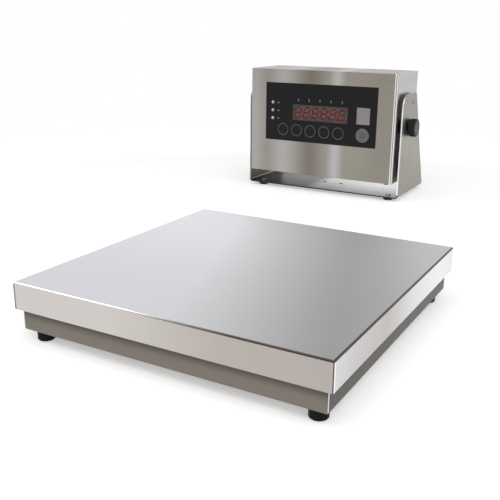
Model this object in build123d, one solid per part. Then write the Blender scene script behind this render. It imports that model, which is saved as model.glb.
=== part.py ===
from build123d import *
import math
import os

# A bench scale in two free-standing units, in millimetres, +Z up, with the floor at Z = 0.
# The platform is a stainless pan on a spider, one load cell and a tube frame with four screw feet.
# The indicator is a stainless case that tilts between the arms of a bracket on rubber feet.
# The origin is the middle of the whole set's footprint on the floor.

# Where the two units stand
platform_x = 81.45              # middle of the platform
platform_y = -252.75
indicator_x = -85.55            # middle of the case
indicator_y = 261.75            # front face of the case

# Clearances
thread_clearance = 0.05         # radial, a screw in its tapped hole
hole_clearance = 0.5            # radial, a screw through a plain hole
running_gap = 0.3               # between pieces that move past each other
edge_gap = 0.2                  # around a piece let into a sheet

# Screws
cell_bolt_diameter = 6.0
cell_bolt_head_diameter = 10.0
cell_bolt_head = 3.0
stop_screw_diameter = 6.0
stop_screw_head = 4.0
cover_screw_diameter = 4.0
cover_screw_head = 2.4
cover_screw_head_radius = 0.9
board_screw_diameter = 3.0
board_screw_head = 2.0
board_screw_grip = 3.5          # thread inside the standoff
head_ratio = 1.9                # head diameter over screw diameter
nut_ratio = 1.75                # nut width over screw diameter

# Screw feet of the platform
foot_diameter = 15.5
foot_height = 10.2
foot_flute_count = 16
foot_flute_depth = 0.45
foot_stud_diameter = 6.0
foot_stud_depth = 7.0           # how far the stud sits in the foot
foot_travel = 10.0              # how far a foot screws out
foot_nut_height = 5.0
foot_sole_chamfer = 1.2
foot_stud_chamfer = 0.8

# Base frame of square tube
frame_inset = 5.0               # pan edge to frame
tube_width = 25.0
tube_height = 30.0
tube_wall = 2.0
tube_edge_radius = 2.5
gusset_leg = 44.0
gusset_sheet = 4.0
gusset_drop = 9.0               # top of the tube to top of the gusset
stop_inset = 15.0               # inner corner of the frame to the stop screw
stop_gap = 0.5                  # play before the spider meets a stop
stop_screw_below = 6.0          # screw end under the gusset

# Cross beam that carries the fixed end of the load cell
beam_width = 60.0
beam_height = 17.0
beam_sheet = 3.0
beam_fold_radius = 5.0

# Load cell, a block with two joined bores
cell_length = 130.0
cell_width = 30.0
cell_height = 22.0
cell_bore_diameter = 15.0
cell_bore_spacing = 32.0
cell_slot_height = 4.0
cell_hole_from_end = 12.0
cell_hole_pitch = 15.0
cell_bolt_grip = 11.0           # thread inside the cell
cell_hole_beyond_bolt = 2.0
lower_spacer_height = 1.5
upper_spacer_height = 2.0
spacer_length = 34.0

# Spider that carries the pan
spider_plate = 4.0
spider_arm_width = 32.0
spider_rim = 2.5
spider_rim_height = 5.0
spider_core_width = 62.0
spider_core_length = 146.0
pad_inset = 40.0                # pan edge to pad centre
pad_diameter = 22.0
pad_height = 8.5
pad_stem_diameter = 8.0
pad_stem = 3.0
pad_edge_radius = 2.0

# Pan
pan_width = 300.0
pan_depth = 300.0
pan_sheet = 1.5
pan_skirt = 25.0
pan_edge_radius = 2.3
pan_corner_radius = 1.0         # ground round the welded corners

# Bubble level on the cross beam
level_diameter = 26.0
level_height = 8.0
level_wall = 2.5
level_from_end = 20.0
level_dome_radius = 1.0

# Cable glands, one on the platform and two on the indicator
gland_thread_diameter = 12.0
gland_bore_diameter = 6.5
gland_hex_width = 16.0
gland_hex = 5.0
gland_thread = 9.0              # in front of the hexagon
gland_nut_diameter = 15.5
gland_nut_length = 12.0
gland_nut_radius = 3.0          # of its dome
gland_inside = 3.0              # thread end past the wall
platform_gland_offset = 60.0    # from the middle, along the rear rail
case_gland_spacing = 40.0
case_gland_height = 24.0        # above the case bottom

# Case of the indicator
case_width = 252.0
case_height = 168.0
case_depth = 100.0
case_sheet = 1.5
case_corner_radius = 5.0
case_edge_radius = 1.0
case_clearance = 22.8           # bracket base to case bottom
case_flange = 13.0
gasket_thickness = 1.5
cover_sheet = 1.5
cover_margin = 1.0
bumper_diameter = 9.0
bumper_height = 3.0
bumper_inset = 12.0
bumper_edge_radius = 1.5

# Front panel of the indicator
overlay_width = 193.0
overlay_height = 93.0
overlay_sheet = 0.8
overlay_corner_radius = 1.2
overlay_rise = 16.2             # middle of the overlay above the middle of the case
window_width = 95.0
window_height = 24.5
window_x = 0.5
window_rise = 0.8
window_border = 1.2             # seat of the window on the case
module_gap = 0.6                # around the digit block in its opening
module_setback = 0.3
lamp_count = 3
lamp_diameter = 5.0
lamp_x = -84.0
lamp_rise = 2.0
lamp_pitch = 12.7
lamp_proud = 1.0
lamp_dome_radius = 1.5
key_count = 5
key_diameter = 20.0
key_pitch = 24.4
key_first_x = -64.0
key_drop = 28.0                 # overlay middle down to the key row
power_key_diameter = 22.0
power_key_x = 74.5
key_travel = 0.4
key_sheet = 0.8
key_edge_radius = 0.27
key_rest_gap = 0.05             # behind a pressed key
key_pin_diameter = 6.0
dome_diameter = 10.0
dome_height = 2.6
dome_chamfer = 0.8

# Boards and power inside the case
board_sheet = 1.6
board_gap = 6.0                 # front wall to the display board
board_width = 188.0
board_height = 84.0
board_hole_inset = 4.0
standoff_diameter = 7.0
main_board_width = 150.0
main_board_height = 90.0
main_board_gap = 9.0            # rear cover to the main board
main_board_rise = 16.0
power_width = 52.0
power_height = 44.0
power_depth = 24.0
power_edge_radius = 2.0
battery_width = 100.0
battery_depth = 44.0
battery_height = 48.0
battery_setback = 24.0          # front wall to the battery
battery_corner_radius = 3.0
clamp_sheet = 1.2
clamp_width = 20.0
clamp_foot = 10.0

# Bracket of the indicator
bracket_sheet = 2.0
bracket_fold_radius = 5.0
bracket_setback = 12.0          # case front to bracket front
bracket_depth = 129.0
arm_gap = 5.6                   # case side to arm
arm_height = 161.0              # bracket underside to arm top
arm_top = 62.0                  # length of the arm's top edge
arm_front_radius = 20.0
arm_rear_radius = 5.0
bracket_hole_diameter = 6.5
bracket_hole_spacing = 30.0
bracket_hole_setback = 54.0     # bracket front to the two holes
bracket_foot_diameter = 18.0
bracket_foot_taper = 2.0
bracket_foot_height = 5.0
bracket_foot_inset_x = 20.0
bracket_foot_inset_y = 14.0
foot_screw_diameter = 4.0
foot_screw_head = 1.8
foot_screw_head_radius = 1.0
bracket_foot_sole = 1.5         # rubber under the screw
foot_screw_end_gap = 0.3

# Clamp knobs on the tilt axis
axis_setback = 48.0             # case front to the tilt axis
knob_diameter = 28.0
knob_length = 12.0
knob_flute_count = 18
knob_flute_depth = 0.9
knob_hub_diameter = 16.0
knob_hub = 1.5
knob_rim_radius = 1.8
knob_back_radius = 0.8
knob_rim_width = 4.0
knob_dish = 0.5                 # depth of the flat face in the rim
knob_stud_diameter = 6.0
knob_stud_depth = 8.0           # how far the stud sits in the knob
knob_grip = 11.0                # thread inside the boss when the knob is tight
boss_diameter = 15.0
boss_length = 14.0
washer_diameter = 22.0

# Levels of the platform, from the floor up
frame_bottom = foot_height + running_gap
frame_top = frame_bottom + tube_height
beam_bottom = frame_bottom + cell_bolt_head
cell_bottom = beam_bottom + beam_sheet + lower_spacer_height
cell_top = cell_bottom + cell_height
spider_bottom = cell_top + upper_spacer_height
spider_top = spider_bottom + spider_plate
pan_underside = spider_top + pad_height
pan_top = pan_underside + pan_sheet
gusset_top = frame_top - gusset_drop

# Plan sizes of the platform
frame_width = pan_width - 2 * frame_inset
frame_depth = pan_depth - 2 * frame_inset
frame_inner_width = frame_width - 2 * tube_width
frame_inner_depth = frame_depth - 2 * tube_width
foot_x = (frame_width - tube_width) / 2
foot_y = (frame_depth - tube_width) / 2
pad_x = pan_width / 2 - pad_inset
pad_y = pan_depth / 2 - pad_inset
stop_x = frame_inner_width / 2 - stop_inset
stop_y = frame_inner_depth / 2 - stop_inset
fixed_holes = [cell_length / 2 - cell_hole_from_end - n * cell_hole_pitch for n in range(2)]
free_holes = [-y for y in fixed_holes]
spacer_y = sum(fixed_holes) / 2

# Levels and sizes of the indicator
bracket_bottom = bracket_foot_height
bracket_floor = bracket_bottom + bracket_sheet
case_bottom = bracket_floor + case_clearance
case_middle = case_bottom + case_height / 2
housing_depth = case_depth - gasket_thickness - cover_sheet
overlay_z = case_middle + overlay_rise
window_z = overlay_z + window_rise
key_z = overlay_z - key_drop
board_y = case_sheet + board_gap
opening_width = window_width - 2 * window_border
opening_height = window_height - 2 * window_border
arm_inner_x = case_width / 2 + arm_gap
arm_outer_x = arm_inner_x + bracket_sheet
cover_width = case_width - 2 * cover_margin
cover_height = case_height - 2 * cover_margin
main_board_y = housing_depth + gasket_thickness - main_board_gap - board_sheet
main_board_z = case_middle + main_board_rise

UPRIGHT = (Align.CENTER, Align.CENTER, Align.MIN)
CORNERS = [(-1, -1), (1, -1), (-1, 1), (1, 1)]
CORNER_NAMES = ["front_left", "front_right", "rear_left", "rear_right"]


# Small helpers

def block(x_size, y_size, z_size, at):
    """A box that stands on the point `at`."""
    return Pos(*at) * Box(x_size, y_size, z_size, align=UPRIGHT)


def rod(diameter, length, at):
    """A round bar that rises from the point `at`."""
    return Pos(*at) * Cylinder(diameter / 2, length, align=UPRIGHT)


def rod_back(diameter, length, at):
    """A round bar that runs from the point `at` towards the rear."""
    return Pos(*at) * Rot(-90, 0, 0) * Cylinder(diameter / 2, length, align=UPRIGHT)


def rod_side(diameter, length, at, side):
    """A round bar that runs from the point `at` to the right, or to the left with side -1."""
    return Pos(*at) * Rot(0, 90 * side, 0) * Cylinder(diameter / 2, length, align=UPRIGHT)


def group(pieces):
    """Several solids in one node."""
    return Compound([solid for piece in pieces for solid in piece.solids()])


def channel(width, height, sheet, radius):
    """The section of a folded U channel, open upwards, with its underside at Y = 0."""
    outer = RectangleRounded(width, 2 * height, radius)
    inner = RectangleRounded(width - 2 * sheet, 2 * height - 2 * sheet, radius - sheet)
    lower_half = Pos(0, -height) * Rectangle(width, 2 * height)
    return Pos(0, height) * ((outer - inner) & lower_half)


def fluted(diameter, flute_count, flute_depth):
    """A round section with grip flutes."""
    flute_radius = math.pi * diameter / flute_count / 4
    centres = PolarLocations(diameter / 2 + flute_radius - flute_depth, flute_count)
    return Circle(diameter / 2) - centres * Circle(flute_radius)


def screw_hole(diameter):
    """The diameter of a plain hole for a screw."""
    return diameter + 2 * hole_clearance


def tapped_hole(diameter):
    """The diameter of a tapped hole, without its thread."""
    return diameter + 2 * thread_clearance


# Platform pan and spider

def platform_pan():
    """The folded cover of the weighing platform, with corners welded and ground round."""
    skirt_bottom = pan_top - pan_skirt
    outer = block(pan_width, pan_depth, pan_skirt, (0, 0, skirt_bottom))
    outer = fillet(outer.faces().sort_by(Axis.Z)[-1].edges(), pan_edge_radius)
    outer = fillet(outer.edges().filter_by(Axis.Z), pan_corner_radius)
    hollow = block(
        pan_width - 2 * pan_sheet, pan_depth - 2 * pan_sheet, pan_skirt, (0, 0, skirt_bottom - pan_sheet)
    )
    hollow = fillet(hollow.faces().sort_by(Axis.Z)[-1].edges(), pan_edge_radius - pan_sheet)
    return outer - hollow


def spider_outline():
    """Two crossed arms over a core plate that takes the load cell."""
    reach = 2 * math.hypot(pad_x, pad_y)
    turn = math.degrees(math.atan2(pad_y, pad_x))
    arms = [Rot(0, 0, angle) * SlotCenterToCenter(reach, spider_arm_width) for angle in (turn, -turn)]
    return arms[0] + arms[1] + Rectangle(spider_core_width, spider_core_length)


def platter_frame():
    """The spider: a flat plate with an upstanding rim, holes for the bolts and pad stems."""
    outline = spider_outline()
    rim = outline - offset(outline, amount=-spider_rim, kind=Kind.INTERSECTION)
    body = extrude(outline, spider_plate) + Pos(0, 0, spider_plate) * extrude(rim, spider_rim_height)
    for y in free_holes:
        body -= rod(screw_hole(cell_bolt_diameter), spider_plate, (0, y, 0))
    for sx, sy in CORNERS:
        body -= rod(pad_stem_diameter + 2 * edge_gap, spider_plate, (sx * pad_x, sy * pad_y, 0))
    return Pos(0, 0, spider_bottom) * body


def pan_pad(x, y):
    """A rubber pad with a stem that plugs into the spider."""
    head = rod(pad_diameter, pad_height, (x, y, spider_top))
    head = fillet(head.faces().sort_by(Axis.Z)[-1].edges(), pad_edge_radius)
    return head + rod(pad_stem_diameter, pad_stem, (x, y, spider_top - pad_stem))


def pan_pads():
    return group(pan_pad(sx * pad_x, sy * pad_y) for sx, sy in CORNERS)


# Load cell with its spacers and bolts

def load_cell():
    """A single-point cell: two bores joined by a slot leave thin beams above and below."""
    body = block(cell_width, cell_length, cell_height, (0, 0, cell_bottom))
    middle = cell_bottom + cell_height / 2
    start = (-cell_width / 2, 0, middle)
    for side in (-1, 1):
        bore_at = (start[0], side * cell_bore_spacing / 2, middle)
        body -= rod_side(cell_bore_diameter, cell_width, bore_at, 1)
    body -= block(cell_width, cell_bore_spacing, cell_slot_height, (0, 0, middle - cell_slot_height / 2))
    depth = cell_bolt_grip + cell_hole_beyond_bolt
    for y in fixed_holes:
        body -= rod(tapped_hole(cell_bolt_diameter), depth, (0, y, cell_bottom))
    for y in free_holes:
        body -= rod(tapped_hole(cell_bolt_diameter), depth, (0, y, cell_top - depth))
    return body


def cell_spacer(y_sign, bottom, height, holes):
    """A plate that lifts one end of the cell clear."""
    plate = block(cell_width, spacer_length, height, (0, y_sign * spacer_y, bottom))
    for y in holes:
        plate -= rod(screw_hole(cell_bolt_diameter), height, (0, y, bottom))
    return plate


def cell_spacer_lower():
    return cell_spacer(1, cell_bottom - lower_spacer_height, lower_spacer_height, fixed_holes)


def cell_spacer_upper():
    return cell_spacer(-1, cell_top, upper_spacer_height, free_holes)


def cell_bolts_lower():
    """Bolts that hold the cell's fixed end, put in from below."""
    shank = beam_sheet + lower_spacer_height + cell_bolt_grip
    return group(
        rod(cell_bolt_head_diameter, cell_bolt_head, (0, y, frame_bottom))
        + rod(cell_bolt_diameter, shank, (0, y, beam_bottom))
        for y in fixed_holes
    )


def cell_bolts_upper():
    """Bolts that hold the spider on the cell's free end, put in from above."""
    shank = cell_bolt_grip + upper_spacer_height + spider_plate
    return group(
        rod(cell_bolt_head_diameter, cell_bolt_head, (0, y, spider_top))
        + rod(cell_bolt_diameter, shank, (0, y, spider_top - shank))
        for y in free_holes
    )


# Base frame

def rail(length, reach, turn):
    """A tube with mitred ends that lies on one side of the frame, `reach` from the middle."""
    outer = RectangleRounded(tube_width, tube_height, tube_edge_radius)
    inner_radius = tube_edge_radius - tube_wall
    inner = RectangleRounded(tube_width - 2 * tube_wall, tube_height - 2 * tube_wall, inner_radius)
    tube = extrude(Plane.YZ * (outer - inner), length / 2, both=True)
    tube = Pos(0, -reach + tube_width / 2, frame_bottom + tube_height / 2) * tube
    half = length / 2
    mitre = Polygon(
        (-half, -reach),
        (half, -reach),
        (half - tube_width, -reach + tube_width),
        (-half + tube_width, -reach + tube_width),
        align=None,
    )
    return Rot(0, 0, turn) * (tube & Pos(0, 0, frame_bottom) * extrude(mitre, tube_height))


def gusset(sx, sy):
    """A corner plate inside the frame, with a tapped hole for the stop screw."""
    corner_x = frame_inner_width / 2
    corner_y = frame_inner_depth / 2
    plate = Polygon(
        (sx * corner_x, sy * corner_y),
        (sx * (corner_x - gusset_leg), sy * corner_y),
        (sx * corner_x, sy * (corner_y - gusset_leg)),
        align=None,
    )
    return Pos(0, 0, gusset_top - gusset_sheet) * extrude(plate, gusset_sheet, dir=(0, 0, 1))


def base_frame():
    """Four mitred tubes and four gussets, each its own solid, that meet at their welds."""
    pieces = [rail(frame_width, frame_depth / 2, turn) for turn in (0, 180)]
    pieces += [rail(frame_depth, frame_width / 2, turn) for turn in (90, 270)]
    pieces += [gusset(sx, sy) for sx, sy in CORNERS]
    holes = []
    for sx, sy in CORNERS:
        stop_at = (sx * stop_x, sy * stop_y, gusset_top - gusset_sheet)
        foot_at = (sx * foot_x, sy * foot_y, frame_bottom)
        holes.append(rod(tapped_hole(stop_screw_diameter), gusset_sheet, stop_at))
        holes.append(rod(screw_hole(foot_stud_diameter), tube_wall, foot_at))
    gland_at = (platform_gland_offset, frame_depth / 2 - tube_wall, platform_gland_z())
    holes.append(rod_back(tapped_hole(gland_thread_diameter), tube_wall, gland_at))
    cable_at = (gland_at[0], frame_inner_depth / 2, gland_at[2])
    holes.append(rod_back(gland_thread_diameter, tube_wall, cable_at))
    return group(piece - holes for piece in pieces)


def cross_beam():
    """A folded channel between the front and rear rails, under the load cell."""
    section = channel(beam_width, beam_height, beam_sheet, beam_fold_radius)
    beam = extrude(Plane.XZ * section, frame_inner_depth / 2, both=True)
    for y in fixed_holes:
        beam -= rod(screw_hole(cell_bolt_diameter), beam_sheet, (0, y, 0))
    return Pos(0, 0, beam_bottom) * beam


def stop_screw(x, y):
    """An overload stop: its head stands just under the spider."""
    head_top = spider_bottom - stop_gap
    head_bottom = head_top - stop_screw_head
    end = gusset_top - gusset_sheet - stop_screw_below
    head = rod(head_ratio * stop_screw_diameter, stop_screw_head, (x, y, head_bottom))
    return head + rod(stop_screw_diameter, head_bottom - end, (x, y, end))


def stop_screws():
    return group(stop_screw(sx * stop_x, sy * stop_y) for sx, sy in CORNERS)


def stop_nut(x, y):
    """A lock nut between the gusset and the head of the stop screw."""
    height = spider_bottom - stop_gap - stop_screw_head - gusset_top
    nut = extrude(RegularPolygon(nut_ratio * stop_screw_diameter / 2, 6, major_radius=False), height)
    return Pos(x, y, gusset_top) * (nut - rod(tapped_hole(stop_screw_diameter), height, (0, 0, 0)))


def stop_nuts():
    return group(stop_nut(sx * stop_x, sy * stop_y) for sx, sy in CORNERS)


# Screw feet of the platform

def foot_pad(x, y):
    """A moulded foot with grip flutes, a rounded sole edge and a bore for its stud."""
    body = extrude(fluted(foot_diameter, foot_flute_count, foot_flute_depth), foot_height)
    sole = Cylinder(foot_diameter / 2, foot_height, align=UPRIGHT)
    body &= chamfer(sole.faces().sort_by(Axis.Z)[0].edges(), foot_sole_chamfer)
    body -= rod(tapped_hole(foot_stud_diameter), foot_stud_depth, (0, 0, foot_height - foot_stud_depth))
    return Pos(x, y, 0) * body


def foot_stud(x, y):
    """The threaded stud of a foot, long enough to stay in the nut when the foot is screwed out."""
    start = foot_height - foot_stud_depth
    end = frame_bottom + tube_wall + foot_nut_height + foot_travel
    stud = rod(foot_stud_diameter, end - start, (x, y, start))
    return chamfer(stud.faces().sort_by(Axis.Z)[-1].edges(), foot_stud_chamfer)


def foot_nut(x, y):
    """A square weld nut inside the tube."""
    bottom = frame_bottom + tube_wall
    side = nut_ratio * foot_stud_diameter
    nut = block(side, side, foot_nut_height, (x, y, bottom))
    return nut - rod(tapped_hole(foot_stud_diameter), foot_nut_height, (x, y, bottom))


def foot_nuts():
    return group(foot_nut(sx * foot_x, sy * foot_y) for sx, sy in CORNERS)


# Bubble level

def level_place():
    """Where the level stands on the cross beam."""
    return (0, -frame_inner_depth / 2 + level_from_end, beam_bottom + beam_sheet)


def level_holder():
    """A round cup for the vial."""
    at = level_place()
    cup = rod(level_diameter, level_height, at)
    recess = rod(level_diameter - 2 * level_wall, level_height, (at[0], at[1], at[2] + level_wall))
    return cup - recess


def level_vial():
    """The sealed vial with a low dome on top."""
    x, y, z = level_place()
    radius = level_diameter / 2 - level_wall - edge_gap / 2
    height = level_height - level_wall
    vial = rod(2 * radius, height, (x, y, z + level_wall))
    return fillet(vial.faces().sort_by(Axis.Z)[-1].edges(), level_dome_radius)


# Cable glands

def gland_body(sheet):
    """A gland through a wall of the given sheet: thread, hexagon and thread, along +Y from the wall."""
    hexagon = extrude(RegularPolygon(gland_hex_width / 2, 6, major_radius=False), gland_hex)
    body = Rot(-90, 0, 0) * hexagon
    inside = sheet + gland_inside
    body += rod_back(gland_thread_diameter, inside + gland_hex + gland_thread, (0, -inside, 0))
    return body - rod_back(gland_bore_diameter, inside + gland_hex + gland_thread, (0, -inside, 0))


def gland_nut():
    """The dome nut of a gland, which closes on the cable."""
    nut = rod_back(gland_nut_diameter, gland_nut_length, (0, gland_hex, 0))
    nut = fillet(nut.faces().sort_by(Axis.Y)[-1].edges(), gland_nut_radius)
    nut -= rod_back(tapped_hole(gland_thread_diameter), gland_thread, (0, gland_hex, 0))
    return nut - rod_back(gland_bore_diameter, gland_nut_length, (0, gland_hex, 0))


def platform_gland_z():
    """The gland sits halfway between the floor side of the tube and the pan's skirt."""
    return (frame_bottom + pan_top - pan_skirt) / 2


def platform_gland_place():
    return Pos(platform_gland_offset, frame_depth / 2, platform_gland_z())


def case_gland_places():
    z = case_bottom + case_gland_height
    return [Pos(side * case_gland_spacing / 2, case_depth, z) for side in (-1, 1)]


# Case of the indicator

def front_housing():
    """The welded case: sheet folded round the front corners, open at the rear inside a flange."""
    outer = Box(case_width, housing_depth, case_height, align=(Align.CENTER, Align.MIN, Align.MIN))
    front_edges = outer.edges().filter_by(Axis.Z).sort_by(Axis.Y)[:2]
    outer = fillet(front_edges, case_corner_radius)
    outer = fillet(outer.faces().sort_by(Axis.Z)[-1].edges(), case_edge_radius)
    outer = fillet(outer.faces().sort_by(Axis.Z)[0].edges(), case_edge_radius)
    inner_width = case_width - 2 * case_sheet
    inner_height = case_height - 2 * case_sheet
    inner_depth = housing_depth - 2 * case_sheet
    hollow = Pos(0, case_sheet, case_sheet) * Box(
        inner_width, inner_depth, inner_height, align=(Align.CENTER, Align.MIN, Align.MIN)
    )
    hollow = fillet(
        hollow.edges().filter_by(Axis.Z).sort_by(Axis.Y)[:2], case_corner_radius - case_sheet
    )
    opening = Pos(0, case_sheet, case_flange) * Box(
        case_width - 2 * case_flange,
        housing_depth,
        case_height - 2 * case_flange,
        align=(Align.CENTER, Align.MIN, Align.MIN),
    )
    case = Pos(0, 0, case_bottom) * (outer - hollow - opening)
    case -= Pos(window_x, case_sheet / 2, window_z) * Box(opening_width, case_sheet, opening_height)
    for x, z in lamp_places():
        case -= rod_back(lamp_diameter + 2 * edge_gap, case_sheet, (x, 0, z))
    for x, _, _ in key_layout():
        case -= rod_back(key_pin_diameter + 2 * hole_clearance, case_sheet, (x, 0, key_z))
    for side in (-1, 1):
        wall_at = (side * (case_width / 2 - case_sheet), axis_setback, case_middle)
        case -= rod_side(screw_hole(knob_stud_diameter), case_sheet, wall_at, side)
    for x, z in cover_screw_places():
        flange_at = (x, housing_depth - case_sheet, z)
        case -= rod_back(tapped_hole(cover_screw_diameter), case_sheet, flange_at)
    return case


def cover_screw_places():
    """Three screws along the top and bottom and one at each side."""
    x_out = case_width / 2 - case_flange / 2
    z_out = case_height / 2 - case_flange / 2
    places = [(x, side * z_out) for x in (-x_out, 0, x_out) for side in (-1, 1)]
    places += [(-x_out, 0), (x_out, 0)]
    return [(x, case_middle + z) for x, z in places]


def rear_cover():
    """A flat plate with screw holes and two gland holes."""
    plate = Pos(0, case_depth - cover_sheet / 2, case_middle) * Box(cover_width, cover_sheet, cover_height)
    plate = fillet(plate.edges().filter_by(Axis.Y), case_edge_radius + cover_margin)
    y = case_depth - cover_sheet
    for x, z in cover_screw_places():
        plate -= rod_back(screw_hole(cover_screw_diameter), cover_sheet, (x, y, z))
    for place in case_gland_places():
        x, _, z = place.position
        plate -= rod_back(tapped_hole(gland_thread_diameter), cover_sheet, (x, y, z))
    return plate


def case_gasket():
    """A flat seal between the flange and the cover."""
    y = housing_depth + gasket_thickness / 2
    outer = Box(cover_width, gasket_thickness, cover_height)
    seal_width = case_flange - cover_margin
    inner = Box(cover_width - 2 * seal_width, gasket_thickness, cover_height - 2 * seal_width)
    seal = Pos(0, y, case_middle) * (outer - inner)
    for x, z in cover_screw_places():
        seal -= rod_back(screw_hole(cover_screw_diameter), gasket_thickness, (x, housing_depth, z))
    return seal


def cover_screws():
    """Pan-head screws that hold the rear cover."""
    shank = cover_sheet + gasket_thickness + 2 * case_sheet
    screws = []
    for x, z in cover_screw_places():
        head = rod_back(head_ratio * cover_screw_diameter, cover_screw_head, (x, case_depth, z))
        head = fillet(head.faces().sort_by(Axis.Y)[-1].edges(), cover_screw_head_radius)
        screws.append(head + rod_back(cover_screw_diameter, shank, (x, case_depth - shank, z)))
    return group(screws)


def case_bumpers():
    """Four rubber bumpers under the case."""
    x = case_width / 2 - bumper_inset
    y_places = (bumper_inset, housing_depth - bumper_inset)
    bumpers = []
    for side in (-1, 1):
        for y in y_places:
            bumper = rod(bumper_diameter, bumper_height, (side * x, y, case_bottom - bumper_height))
            bumpers.append(fillet(bumper.faces().sort_by(Axis.Z)[0].edges(), bumper_edge_radius))
    return group(bumpers)


# Front panel

def lamp_places():
    """A column of status lamps left of the window."""
    middle = (lamp_count - 1) / 2
    return [(lamp_x, overlay_z + lamp_rise + (middle - n) * lamp_pitch) for n in range(lamp_count)]


def key_layout():
    """Name, place and diameter of every key: a row of five and the power key."""
    keys = [(key_first_x + n * key_pitch, key_diameter, f"key_{n + 1}") for n in range(key_count)]
    return keys + [(power_key_x, power_key_diameter, "power_key")]


def overlay():
    """The printed sheet on the case front, cut out for the window, lamps and keys."""
    outline = RectangleRounded(overlay_width, overlay_height, overlay_corner_radius)
    outline -= Pos(window_x, window_rise) * Rectangle(window_width + 2 * edge_gap, window_height + 2 * edge_gap)
    for x, z in lamp_places():
        outline -= Pos(x, z - overlay_z) * Circle(lamp_diameter / 2 + edge_gap)
    for x, diameter, _ in key_layout():
        outline -= Pos(x, -key_drop) * Circle(diameter / 2 + edge_gap)
    sheet = extrude(outline, overlay_sheet)
    return Pos(0, 0, overlay_z) * Rot(90, 0, 0) * sheet


def display_window():
    """The clear filter over the digits, which seats on the case round the opening."""
    y = -overlay_sheet / 2
    return Pos(window_x, y, window_z) * Box(window_width, overlay_sheet, window_height)


def display_module():
    """The block of six digits on the display board."""
    depth = board_y - module_setback
    width = opening_width - 2 * module_gap
    height = opening_height - 2 * module_gap
    return Pos(window_x, module_setback + depth / 2, window_z) * Box(width, depth, height)


def status_lamps():
    """Three lamps with domed tips that stand a little proud of the overlay."""
    lamps = []
    for x, z in lamp_places():
        front = -overlay_sheet - lamp_proud
        lamp = rod_back(lamp_diameter, board_y - front, (x, front, z))
        lamps.append(fillet(lamp.faces().sort_by(Axis.Y)[0].edges(), lamp_dome_radius))
    return group(lamps)


def key(x, diameter):
    """A key cap with a pin through the case wall to its switch."""
    back = -key_travel - key_rest_gap
    front = back - key_sheet
    cap = rod_back(diameter, key_sheet, (x, front, key_z))
    cap = fillet(cap.faces().sort_by(Axis.Y)[0].edges(), key_edge_radius)
    pin_end = board_y - dome_height - key_travel - key_rest_gap
    return cap + rod_back(key_pin_diameter, pin_end - back, (x, back, key_z))


def dome_switches():
    """A dome switch behind each key."""
    domes = []
    for x, _, _ in key_layout():
        dome = rod_back(dome_diameter, dome_height, (x, board_y - dome_height, key_z))
        domes.append(chamfer(dome.faces().sort_by(Axis.Y)[0].edges(), dome_chamfer))
    return group(domes)


# Boards, power supply and battery

def corner_holes(width, height, middle):
    """The four holes of a board."""
    x = width / 2 - board_hole_inset
    z = height / 2 - board_hole_inset
    return [(sx * x, middle + sz * z) for sx, sz in CORNERS]


def board(width, height, y, z):
    """A circuit board with a hole in each corner."""
    plate = Pos(0, y + board_sheet / 2, z) * Box(width, board_sheet, height)
    for hole_x, hole_z in corner_holes(width, height, z):
        plate -= rod_back(screw_hole(board_screw_diameter), board_sheet, (hole_x, y, hole_z))
    return plate


def display_board():
    return board(board_width, board_height, board_y, overlay_z)


def main_board():
    return board(main_board_width, main_board_height, main_board_y, main_board_z)


def standoff(x, y, z, length):
    """A tapped spacer along +Y."""
    body = rod_back(standoff_diameter, length, (x, y, z))
    return body - rod_back(tapped_hole(board_screw_diameter), length, (x, y, z))


def board_standoffs():
    return group(
        standoff(x, case_sheet, z, board_gap)
        for x, z in corner_holes(board_width, board_height, overlay_z)
    )


def main_standoffs():
    return group(
        standoff(x, main_board_y + board_sheet, z, main_board_gap)
        for x, z in corner_holes(main_board_width, main_board_height, main_board_z)
    )


def board_screws():
    """The screws of both boards, put in from inside the case."""
    head_diameter = head_ratio * board_screw_diameter
    shank = board_sheet + board_screw_grip
    screws = []
    for x, z in corner_holes(board_width, board_height, overlay_z):
        rear = board_y + board_sheet
        screw = rod_back(head_diameter, board_screw_head, (x, rear, z))
        screws.append(screw + rod_back(board_screw_diameter, shank, (x, rear - shank, z)))
    for x, z in corner_holes(main_board_width, main_board_height, main_board_z):
        screw = rod_back(head_diameter, board_screw_head, (x, main_board_y - board_screw_head, z))
        screws.append(screw + rod_back(board_screw_diameter, shank, (x, main_board_y, z)))
    return group(screws)


def power_module():
    """The encapsulated power supply on the main board."""
    y = main_board_y - power_depth / 2
    body = Pos(0, y, main_board_z) * Box(power_width, power_depth, power_height)
    return fillet(body.faces().sort_by(Axis.Y)[0].edges(), power_edge_radius)


def battery_pack():
    """The buffer battery on the case floor."""
    bottom = case_bottom + case_sheet
    y = case_sheet + battery_setback + battery_depth / 2
    body = block(battery_width, battery_depth, battery_height, (0, y, bottom))
    return fillet(body.edges().filter_by(Axis.Z), battery_corner_radius)


def battery_clamp():
    """A folded strap over the battery, with a foot at each end on the case floor."""
    floor = case_bottom + case_sheet
    y = case_sheet + battery_setback + battery_depth / 2
    inner_width = battery_width + 2 * edge_gap
    inner_height = battery_height + edge_gap
    hoop = Rectangle(inner_width + 2 * clamp_sheet, inner_height + clamp_sheet, align=(Align.CENTER, Align.MIN))
    hoop -= Rectangle(inner_width, inner_height, align=(Align.CENTER, Align.MIN))
    hoop += Rectangle(
        inner_width + 2 * clamp_sheet + 2 * clamp_foot, clamp_sheet, align=(Align.CENTER, Align.MIN)
    ) - Rectangle(inner_width, clamp_sheet, align=(Align.CENTER, Align.MIN))
    return Pos(0, y, floor) * extrude(Plane.XZ * hoop, clamp_width / 2, both=True)


# Bracket and its feet

def bracket_foot_places():
    x = arm_outer_x - bracket_foot_inset_x
    front = bracket_setback + bracket_foot_inset_y
    rear = bracket_setback + bracket_depth - bracket_foot_inset_y
    return [(side * x, y) for side in (-1, 1) for y in (front, rear)]


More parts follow.
